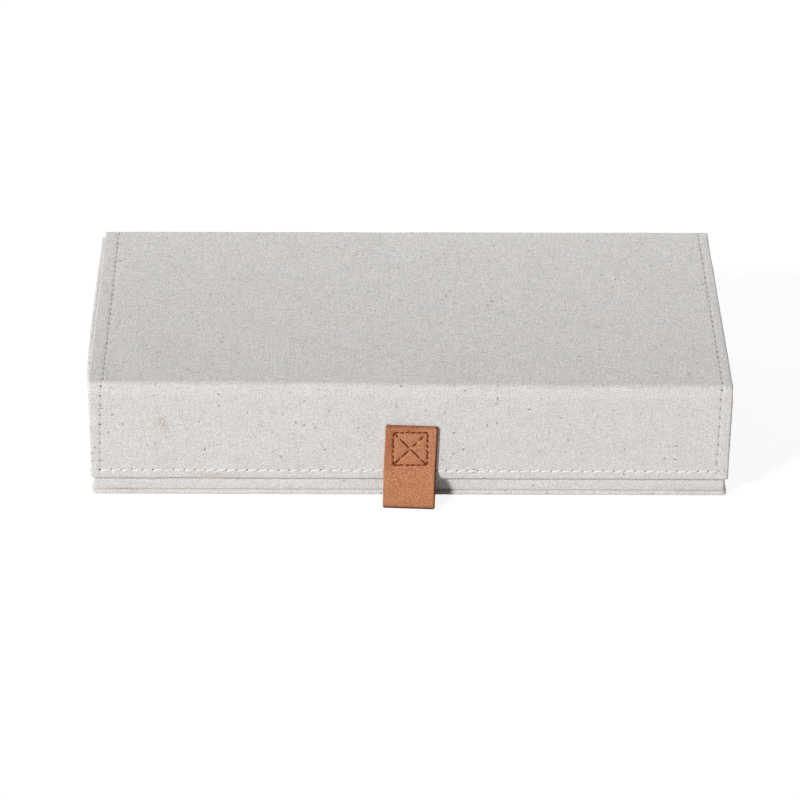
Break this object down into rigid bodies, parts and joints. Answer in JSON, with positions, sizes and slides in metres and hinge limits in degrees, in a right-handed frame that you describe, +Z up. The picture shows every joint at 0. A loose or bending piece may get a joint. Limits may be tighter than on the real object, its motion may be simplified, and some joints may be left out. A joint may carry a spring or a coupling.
{
  "type": "glasses box",
  "caption": "Linen-covered storage box for spectacles: partitioned tray on a base panel, lid on a cloth hinge, drop-front flap with a stitched leather pull tab.",
  "frame": {"origin": "on the underside of the base panel, under the middle of the lid", "axes": "+X to the right along the width, -Y to the front where the flap and tab are, +Z up"},
  "size_m": [0.335, 0.1892, 0.0678],
  "materials": {
    "linen": "plain-woven natural linen",
    "lining": "fine plain-woven lining cloth",
    "greyboard": "dense greyboard",
    "thread": "twisted thread",
    "leather": "tan leather, matt grain",
    "tab_thread": "dark twisted thread",
    "steel": "plated"
  },
  "bodies": {
    "tray": {"bottom_board": "greyboard", "bottom_cover": "linen", "tray_floor": "greyboard", "front_wall": "greyboard", "back_wall": "greyboard", "left_wall": "greyboard", "right_wall": "greyboard", "keepers": "steel", "tray_cover": "linen", "floor_lining": "lining", "wall_lining": "lining", "divider_boards": "greyboard", "divider_1": "lining", "divider_2": "lining", "divider_3": "lining", "divider_4": "lining", "spine_board": "greyboard", "spine_cover": "linen", "spine_stitching": "thread", "rear_hinge_cloth": "linen"},
    "lid": {"lid_board": "greyboard", "lid_cover": "linen", "lid_lining": "lining", "lid_stitching": "thread", "front_hinge_cloth": "linen"},
    "flap": {"flap_board": "greyboard", "flap_magnets": "steel", "flap_cover": "linen", "flap_lining": "lining", "flap_stitching": "thread", "pull_tab": "leather", "tab_stitching": "tab_thread"}
  },
  "joints": [
    {"name": "lid_hinge", "type": "hinge", "parent": "tray", "child": "lid", "pos_m": [0, 0.08688, 0.06688], "axis": [-1, 0, 0], "range_deg": [0, 180], "deforming": ["rear_hinge_cloth"]},
    {"name": "flap_hinge", "type": "hinge", "parent": "lid", "child": "flap", "pos_m": [0, -0.08688, 0.06688], "axis": [-1, 0, 0], "range_deg": [0, 180], "deforming": ["front_hinge_cloth"]}
  ]
}
